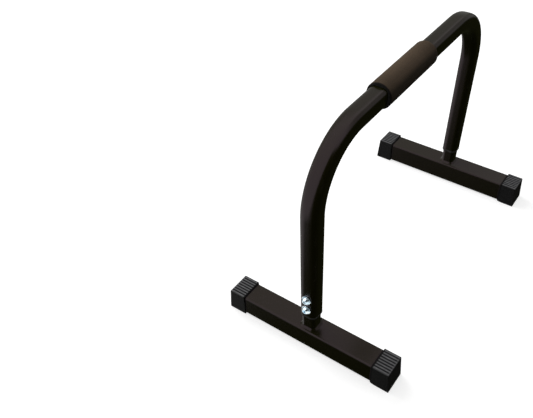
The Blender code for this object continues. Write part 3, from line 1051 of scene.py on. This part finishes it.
@dataclass
class Foot(SubAssembly):
    """One foot but for its caps: the floor tube, the spigot with its weld, and the bush."""

    length: float = 0.3034
    size: float = 0.040
    corner: float = 0.003
    corner_steps: int = 6
    wall: float = 0.002
    bottom: float = 0.002
    gap: float = CLEARANCE
    spigot_size: float = 0.025
    spigot_corner: float = 0.0065
    spigot_steps: int = 10
    spigot_wall: float = 0.002
    spigot_top: float = 0.1358
    weld_leg: float = 0.0034
    weld_steps: int = 26  # along each side and round each corner
    bead_steps: int = 9
    bead_bulge: float = -0.35  # below 0 for a hollow face
    ripple: float = 0.0016
    ripple_height: float = 0.00022
    ripple_trail: float = 1.1  # ripples by which a crescent's ends trail its middle
    toe: float = 0.0002
    leg_size: float = LEG_SIZE
    leg_corner: float = LEG_CORNER
    flange_top: float = 0.0752
    flange: float = 0.004
    flange_edge: float = 0.0005
    flange_steps: int = 12
    liner_size: float = 0.0270
    liner_wall: float = 0.0007
    liner_top: float = 0.1278

    @property
    def base(self) -> float:
        """Height at which the spigot and the weld stand, just over the floor tube."""
        return self.bottom + self.size + self.gap

    def build(self, end: End) -> None:
        """Set out one foot's pieces, drilled on their outer side.

        Args:
            end: the end that the foot is at.
        """
        name, face = end.value, end.sign * self.spigot_size / 2
        tube = self.copy_of(self.floor_tube, f"{name}_floor_tube")
        spigot = self.copy_of(self.spigot, f"{name}_leg_spigot")
        Bench.cut(spigot, *Bench.drills(face))
        Bench.mark(spigot, "corner", lambda v: corner_share(v.x, v.y, self.spigot_size, self.spigot_corner))
        weld = self.copy_of(self.weld, f"{name}_fillet_weld")
        bush = self.copy_of(self.bush, f"{name}_mouth_bush")
        Bench.cut(bush, *Bench.drills(face))
        for piece, finish, node in ((tube, COAT, "foot_tube"), (spigot, COAT, "spigot"),
                                    (weld, COAT, "weld_bead"), (bush, BUSH, "leg_bush")):
            Bench.shift(piece, end.place)
            self.hand_over(piece, finish, f"{name}_{node}")

    def floor_tube(self) -> Piece:
        """Square tube that lies across the bar.

        Returns:
            The tube.
        """
        middle = self.bottom + self.size / 2
        plate = Bench.plate("floor_tube", self.size, self.corner, self.corner_steps,
                            (0, -self.length / 2, middle), FACING_Y)
        tube = Bench.square_tube(plate, self.wall, y=self.length)
        Bench.mark(tube, "corner", lambda v: corner_share(v.x, v.z - middle, self.size, self.corner))
        return tube

    def spigot(self) -> Piece:
        """Square tube that stands on the foot and goes up inside the leg."""
        plate = Bench.plate("spigot", self.spigot_size, self.spigot_corner, self.spigot_steps,
                            (0, 0, self.base))
        return Bench.square_tube(plate, self.spigot_wall, z=self.spigot_top - self.base)

    def weld(self) -> Piece:
        """Fillet weld round the spigot, with the ripples that the arc leaves.

        Returns:
            The bead.
        """
        inner = self.spigot_size + 2 * self.gap
        corner = self.spigot_corner + self.gap + self.weld_leg
        weld = Bench.plate("weld", inner + 2 * self.weld_leg, corner, self.weld_steps, (0, 0, self.base))
        profile = [self.bead_profile(step / self.bead_steps) for step in range(self.bead_steps + 1)]
        with Bench.editing(weld):
            Bench.edges(lambda a, b: (a - b).length > corner / 4)
            bpy.ops.mesh.subdivide(number_cuts=self.weld_steps)
            Bench.everything("FACE")
            for (out, up), (next_out, next_up) in zip(profile, profile[1:]):
                bpy.ops.mesh.inset(thickness=out - next_out, depth=next_up - up, use_even_offset=True)
            bpy.ops.mesh.delete(type="ONLY_FACE")
            Bench.rims()
            bpy.ops.mesh.bridge_edge_loops()
            Bench.face_outward()
        self.ripple_bead(weld, inner / 2)
        return weld

    def bead_profile(self, share: float) -> tuple[float, float]:
        """Distance out from the spigot and height over the foot, from 0 on the foot to 1 on the spigot."""
        angle, straight = share * math.pi / 2, 1 - self.bead_bulge
        return (self.weld_leg * (straight * (1 - share) + self.bead_bulge * math.cos(angle)),
                self.weld_leg * (straight * share + self.bead_bulge * math.sin(angle)))

    def ripple_bead(self, weld: Piece, spigot: float) -> None:
        """Push the bead's face in and out in crescents, one for each step of the arc.

        Args:
            weld: the bead.
            spigot: half the side of the bead's hole.
        """
        count = round(4 * (self.spigot_size + self.weld_leg) / self.ripple)
        for vert in weld.data.vertices:
            out = max(abs(vert.co.x), abs(vert.co.y)) - spigot
            up = vert.co.z - self.base
            if min(out, up) < self.toe:
                continue
            tilt = math.atan2(up, out) / (math.pi / 2)
            turn = math.atan2(vert.co.y, vert.co.x) / (2 * math.pi)
            wave = (turn * count + self.ripple_trail * (2 * tilt - 1) ** 2) % 1.0
            lift = self.ripple_height * (wave ** 0.6 - 0.55) * math.sin(math.pi * tilt)
            outward = Vector((vert.co.x, vert.co.y, 0)).normalized() + Vector((0, 0, 1))
            vert.co += outward.normalized() * lift

    def bush(self) -> Piece:
        """Bush in the leg's mouth: a flange as wide as the leg and a thin liner above it.

        Returns:
            The bush.
        """
        bush = Bench.plate("bush", self.leg_size, self.leg_corner, self.flange_steps,
                           (0, 0, self.flange_top - self.flange))
        with Bench.editing(bush):
            Bench.everything("FACE")
            for step in ((self.leg_size - self.liner_size) / 2, self.liner_wall):
                bpy.ops.mesh.inset(thickness=step, use_even_offset=True)
            bpy.ops.mesh.delete(type="FACE")
            Bench.everything("FACE")
            Bench.pull(z=self.flange)
            Bench.faces(lambda c: c.z > self.flange_top - HAIR and self.spread(c) < self.liner_size / 2)
            Bench.pull(z=self.liner_top - self.flange_top)
            Bench.face_outward()
            Bench.edges(self.at_flange_rim)
            Bench.round_off(self.flange_edge, steps=3)
        return bush

    def spread(self, spot: Vector) -> float:
        """Half the side of the rounded square, one outline inside another, that a place lies on."""
        flat = self.leg_size / 2 - self.leg_corner
        return flat + math.hypot(max(abs(spot.x) - flat, 0), max(abs(spot.y) - flat, 0))

    def at_flange_rim(self, a: Vector, b: Vector) -> bool:
        """Whether an edge runs round the flange's outer rim, above or below."""
        return abs(a.z - b.z) < HAIR and min(self.spread(a), self.spread(b)) > self.leg_size / 2 - HAIR


@dataclass
class EndCap(SubAssembly):
    """Moulded cap over a foot tube's end, grooved above and below."""

    side: Side
    width: float = 0.0432
    height: float = CAP_HEIGHT
    mouth: float = CAP_MOUTH
    outer: float = 0.155
    flare: float = 0.004
    edge: float = 0.0008
    arris: float = 0.00016
    pocket: float = 0.0406
    pocket_corner: float = 0.0033
    pocket_steps: int = 6
    pocket_middle: float = 0.022
    pocket_end: float = 0.152
    overshoot: float = 0.001  # how far the cutters stand out of the mouth
    grooves: int = 7
    pitch: float = GROOVE_PITCH
    groove_width: float = 0.0022
    groove_depth: float = 0.0009
    groove_nose: float = 0.0009
    groove_edge: float = 0.0004
    top_groove_end: float = 0.153
    sole_groove_end: float = 0.150

    @property
    def heel(self) -> tuple[float, float]:
        """Run and rise of the curve under the cap's mouth; the right-hand caps' is long."""
        return (0.010, 0.0030) if self.side is Side.RIGHT else (0.0012, 0.0012)

    def build(self, end: End) -> None:
        """Set out a cap, moulded on the left, and turn it to its own side.

        Args:
            end: the end that its foot is at.
        """
        name = f"{end.value}_{self.side.value}"
        half_turn = Matrix.Rotation(math.pi if self.side is Side.RIGHT else 0.0, 4, "Z")
        cap = self.copy_of(self.moulding, f"{name}_end_cap", end.place @ half_turn)
        self.hand_over(cap, CAP, f"{name}_foot_cap")

    def moulding(self) -> Piece:
        """Cap as it leaves the mould, on the left of a foot at the bar's middle.

        Returns:
            The cap.
        """
        block = self.block()
        Bench.cut(block, Bench.join(self.tube_pocket(), self.groove_bars(self.height, self.top_groove_end),
                                    self.groove_bars(0.0, self.sole_groove_end)))
        Bench.soften(block, self.arris, angle=50)
        Bench.mark(block, "groove", self.in_groove)
        return block

    def block(self) -> Piece:
        """Solid cap: a box whose end flares, with a curved heel and rounded edges.

        Returns:
            The block.
        """
        middle = (self.mouth + self.outer) / 2
        block = Bench.add(bpy.ops.mesh.primitive_cube_add, "cap_block", size=1,
                          location=(0, middle, self.height / 2),
                          scale=(self.width, self.outer - self.mouth, self.height))
        run, rise = self.heel
        with Bench.editing(block):
            Bench.corners(lambda v: v.y > middle and v.z < HAIR)
            bpy.ops.transform.translate(value=(0, self.flare, 0))
            Bench.edges(lambda a, b: max(a.y, b.y) < middle and max(a.z, b.z) < HAIR)
            Bench.round_off(rise, steps=10)
            Bench.corners(lambda v: v.y < self.mouth + rise + HAIR and v.z < rise + HAIR)
            bpy.ops.transform.resize(value=(1, run / rise, 1), center_override=(0, self.mouth, 0))
            Bench.edges(self.is_moulded_edge)
            Bench.round_off(self.edge, steps=4)
            Bench.face_outward()
        return block

    def is_moulded_edge(self, a: Vector, b: Vector) -> bool:
        """Whether an edge of the block is one that the mould rounds.

        Args:
            a: one end of the edge.
            b: its other end.

        Returns:
            True for the edges at the outer end and for those along the cap.
        """
        crosses = abs(a.x - b.x) > self.width / 2
        at_end = min(a.y, b.y) > self.outer - HAIR
        at_mouth = max(a.y, b.y) < self.mouth + HAIR
        return at_end or not (crosses or at_mouth)

    def tube_pocket(self) -> Piece:
        """Cutter for the pocket that the tube goes into.

        Returns:
            The cutter.
        """
        start = self.mouth - self.overshoot
        pocket = Bench.plate("pocket", self.pocket, self.pocket_corner, self.pocket_steps,
                             (0, start, self.pocket_middle), FACING_Y)
        with Bench.editing(pocket):
            Bench.pull(y=self.pocket_end - start)
            Bench.face_outward()
        return pocket

    def groove_bars(self, height: float, end: float) -> Piece:
        """Cutter for one face's grooves: bars with rounded edges and ends.

        Args:
            height: of the face over the floor.
            end: how far along the cap the grooves run.

        Returns:
            The bars, joined.
        """
        start = self.mouth - self.overshoot
        length = end - start
        middle = start + length / 2
        bar = Bench.add(bpy.ops.mesh.primitive_cube_add, "groove_bar", size=1,
                        location=(-self.pitch * (self.grooves // 2), middle, height),
                        scale=(self.groove_width, length, 2 * self.groove_depth))
        with Bench.editing(bar):
            Bench.edges(lambda a, b: min(a.y, b.y) > middle and abs(a.x - b.x) < HAIR)
            Bench.round_off(self.groove_nose, steps=5)
            Bench.edges(lambda a, b: abs(a.z - b.z) < HAIR)
            Bench.round_off(self.groove_edge, steps=2)
            Bench.face_outward()
        shifts = [Matrix.Translation((self.pitch * index, 0, 0)) for index in range(1, self.grooves)]
        return Bench.join(bar, *[Bench.copy(bar, "groove_bar", shift) for shift in shifts])

    def in_groove(self, spot: Vector) -> float:
        """Whether a place is inside a groove of the top or the sole.

        Args:
            spot: the place.

        Returns:
            1 inside a groove, else 0.
        """
        index = round(spot.x / self.pitch)
        aside, deep = abs(spot.x - index * self.pitch), min(self.height - spot.z, spot.z)
        between = abs(index) <= self.grooves // 2 and aside < self.groove_width / 2 + HAIR
        sunk = self.groove_depth / 2 < deep < self.groove_depth + 2 * HAIR
        return float(between and sunk and spot.y < self.top_groove_end + HAIR)


# Fasteners


@dataclass
class Fastening(SubAssembly):
    """A button-head screw with its flat washer, in a leg's outer face."""

    leg_size: float = LEG_SIZE
    gap: float = CLEARANCE
    shank: float = 0.008
    length: float = 0.016
    tip: float = 0.001
    head: float = 0.0139
    head_height: float = 0.0044
    head_sides: int = 64
    dome_steps: int = 14
    rim: float = 0.0004
    crest: float = 0.0074
    arris: float = 0.00018
    socket: float = 0.005
    socket_depth: float = 0.0026
    washer: float = 0.0159
    washer_height: float = 0.0016
    washer_edge: float = 0.0003
    washer_sides: int = 72

    @property
    def seat(self) -> float:
        """Distance from the leg's axis to the washer's inner face."""
        return self.leg_size / 2 + self.gap

    @staticmethod
    def head_turn(end: End, level: Level) -> Matrix:
        """Turn that a screw's head was left with when it was tightened."""
        degrees = {End.FRONT: {Level.LOWER: 8, Level.UPPER: 37}, End.BACK: {Level.LOWER: 21, Level.UPPER: 50}}
        return Matrix.Rotation(math.radians(degrees[end][level]), 4, "Z")

    def build(self, end: End, level: Level) -> None:
        """Set out a screw and its washer.

        Args:
            end: the end that its leg is at.
            level: which of the leg's two screws it is.
        """
        name = f"{end.value}_{level.value}"
        outward = Matrix.Rotation(end.sign * math.pi / 2, 4, "Y")
        hole = Matrix.Translation((end.sign * LEG_AXIS, 0, level.height)) @ outward
        screw = self.copy_of(self.screw, f"{name}_button_screw", hole @ self.head_turn(end, level))
        self.hand_over(screw, ZINC, f"{name}_screw")
        washer = self.copy_of(self.flat_washer, f"{name}_flat_washer", hole)
        self.hand_over(washer, ZINC, f"{name}_washer")

    def screw(self) -> Piece:
        """Screw turned from the tip to the crest, with a hexagon socket pressed into its head.

        Returns:
            The screw, along Z.
        """
        under = self.seat + self.washer_height + self.gap
        point, half = under - self.length, self.shank / 2
        profile = [(point, half - self.tip), (point + self.tip, half), (under, half), (under, self.head / 2)]
        profile += [(under + up, radius) for up, radius in self.dome()]
        screw = Bench.turned("screw", profile, self.head_sides)
        Bench.cut(screw, Bench.add(bpy.ops.mesh.primitive_cylinder_add, "socket_punch", vertices=6,
                                   radius=self.socket / math.sqrt(3), depth=2 * self.socket_depth,
                                   location=(0, 0, under + self.head_height)))
        Bench.soften(screw, self.arris, angle=40)
        return screw

    def dome(self) -> list[tuple[float, float]]:
        """Work out the head's outline, which is a slice of a ball.

        Returns:
            Height and radius of places from the rim to the crest.
        """
        rim, crest = self.head / 2, self.crest / 2
        unlike = rim**2 + self.rim**2 - crest**2 - self.head_height**2
        middle = unlike / (2 * (self.rim - self.head_height))
        ball = math.hypot(rim, self.rim - middle)
        first, last = (math.asin((height - middle) / ball) for height in (self.rim, self.head_height))
        angles = [first + (last - first) * step / self.dome_steps for step in range(self.dome_steps + 1)]
        return [(middle + ball * math.sin(angle), ball * math.cos(angle)) for angle in angles]

    def flat_washer(self) -> Piece:
        """Stamped washer with softened rims.

        Returns:
            The washer, along Z.
        """
        washer = Bench.add(bpy.ops.mesh.primitive_circle_add, "washer", vertices=self.washer_sides,
                           radius=self.washer / 2, location=(0, 0, self.seat), fill_type="NGON")
        with Bench.editing(washer):
            bpy.ops.mesh.inset(thickness=(self.washer - self.shank) / 2 - self.gap)
            bpy.ops.mesh.delete(type="FACE")
            Bench.everything()
            Bench.pull(z=self.washer_height)
            Bench.face_outward()
            Bench.edges(lambda a, b: abs(a.z - b.z) < HAIR
                        and min(a.xy.length, b.xy.length) > self.washer / 2 - HAIR)
            Bench.round_off(self.washer_edge, steps=3)
        return washer


class WeldNuts:
    """The nuts inside the spigots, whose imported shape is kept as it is."""

    def build(self) -> None:
        """Give each nut its metal."""
        for end in End:
            for level in Level:
                nut = frame["nodes"][f"{end.value}_{level.value}_nut"]
                for place in nut.material_slots:
                    place.material = ZINC.material()
                LOG.info("%s: kept, with a new finish", nut.name)


# Studio


@dataclass(frozen=True)
class Panel:
    """A square light panel: its name, place, side in metres, power in watts and what it faces."""

    name: str
    at: Spot
    size: float
    power: float
    aim: Spot = (0.0, 0.0, 0.15)

    def hang(self) -> Piece:
        """Add the light and turn it to face the bar.

        Returns:
            The light.
        """
        Bench.put_down()
        turn = (Vector(self.aim) - Vector(self.at)).to_track_quat("-Z", "Y").to_euler()
        bpy.ops.object.light_add(type="AREA", location=self.at, rotation=turn)
        lamp = bpy.context.object
        lamp.name = self.name
        lamp.data.shape = "SQUARE"
        lamp.data.size, lamp.data.energy = self.size, self.power
        return lamp


@dataclass
class Studio:
    """Pale floor, soft lights and the photograph's viewpoint."""

    eye: Spot = (-0.78907, -0.34228, 0.85078)
    turn: Spot = (44.5647, 1.2186, -55.0094)
    lens: float = 41.338
    shift: tuple[float, float] = (-0.0431, 0.0755)
    reach: float = 20.0
    sky_light: Colour = (0.76, 0.76, 0.76)
    dim_light: Colour = (0.015, 0.016, 0.007)
    room_panels: tuple[Panel, ...] = (Panel("key_panel", (0.3, 1.9, 1.7), 2.0, 62.0),
                                      Panel("fill_panel", (0.2, -2.0, 1.1), 1.5, 9.0))
    metal_panels: tuple[Panel, ...] = (Panel("metal_floor_panel", (-0.6, -0.5, -0.9), 3.2, 44.0),
                                       Panel("metal_wall_panel", (-1.5, 1.0, 1.5), 2.1, 40.0))

    def build(self) -> None:
        """Set up everything round the bar."""
        bpy.context.scene.view_settings.view_transform = "Standard"
        self.camera()
        self.floor()
        self.backdrop()
        self.sky()
        for panel in self.room_panels:
            panel.hang().visible_glossy = False
        self.metal_light()

    def camera(self) -> None:
        """Stand where the photographer stood."""
        Bench.put_down()
        bpy.ops.object.camera_add(location=self.eye, rotation=[math.radians(a) for a in self.turn])
        camera = bpy.context.object
        camera.name = "viewpoint"
        camera.data.lens = self.lens
        camera.data.sensor_width = 36.0
        camera.data.shift_x, camera.data.shift_y = self.shift
        camera.data.clip_end = 100.0
        bpy.context.scene.camera = camera

    def floor(self) -> None:
        """Matt white floor with a little light of its own, which keeps the shadows faint."""
        floor = Bench.add(bpy.ops.mesh.primitive_plane_add, "studio_floor", size=2 * self.reach)
        self.dress(floor, "white_floor", "ShaderNodeBsdfPrincipled",
                   {"Base Color": (0.45, 0.45, 0.45, 1.0), "Roughness": 1.0, "Specular IOR Level": 0.0,
                    "Emission Color": (1.0, 1.0, 1.0, 1.0), "Emission Strength": 0.68})

    def backdrop(self) -> None:
        """White dome behind everything."""
        dome = Bench.add(bpy.ops.mesh.primitive_uv_sphere_add, "studio_backdrop", segments=48,
                         ring_count=24, radius=self.reach)
        self.dress(dome, "pale_backdrop", "ShaderNodeEmission", {"Color": (1.0, 1.0, 1.0, 1.0)})

    @staticmethod
    def dress(stage: Piece, name: str, kind: str, inputs: dict[str, object]) -> None:
        """Give the floor or the backdrop its material and keep it out of the bar's light.

        Args:
            stage: the floor or the backdrop.
            name: the material's name.
            kind: its shader node's type.
            inputs: the shader's values.
        """
        made = bpy.data.materials.new(name)
        graph = Graph(made)
        graph.show("ShaderNodeOutputMaterial", graph.node(kind, {}, inputs))
        stage.data.materials.append(made)
        stage.visible_diffuse = stage.visible_glossy = stage.visible_shadow = False

    def sky(self) -> None:
        """Light the bar from its left, from above and a little from in front, less towards the back."""
        world = bpy.data.worlds.new("soft_studio")
        bpy.context.scene.world = world
        graph = Graph(world)
        back, left, up = graph.axes("Generated")
        on_left = (2.5 * left + up).rise(0.36, 0.54) * (1 - 0.45 * up.rise(-0.62, -0.74))
        above = (0.8 * back + up).rise(0.50, 0.68) * (1 - 0.56 * back.rise(0.10, 0.55))
        in_front = 0.16 * (up - back).rise(-0.10, 0.35) * left.rise(0.0, 0.22)
        lit = up.maths("MAXIMUM", up.maths("MAXIMUM", on_left, above), in_front)
        fading = 0.52 * (0.6 * back + 0.8 * left).rise(0.48, 0.74) + 0.18 * back.rise(0.765, 0.85)
        light = graph.blend(lit * (1 - fading), self.dim_light, self.sky_light)
        graph.show("ShaderNodeOutputWorld", graph.node("ShaderNodeBackground", {}, {"Color": light}))

    def metal_light(self) -> None:
        """Hang panels that the fasteners alone see: a bright floor below and a wall in front."""
        metal = bpy.data.collections.new("zinc_pieces")
        for piece in bpy.data.objects:
            if piece.type == "MESH" and any(m and m.name == ZINC.name for m in piece.data.materials):
                metal.objects.link(piece)
        for panel in self.metal_panels:
            lamp = panel.hang()
            lamp.visible_camera = False
            lamp.light_linking.receiver_collection = metal


def main() -> None:
    """Build the bar and its studio, in order."""
    logging.basicConfig(level=logging.INFO, format="%(message)s")
    Handle().build()
    foot, caps, fastening = Foot(), [EndCap(side) for side in Side], Fastening()
    for end in End:
        foot.build(end)
        for cap in caps:
            cap.build(end)
        for level in Level:
            fastening.build(end, level)
    for group in (foot, *caps, fastening):
        group.put_away()
    WeldNuts().build()
    Studio().build()
    Bench.put_down()


if __name__ == "__main__":
    main()
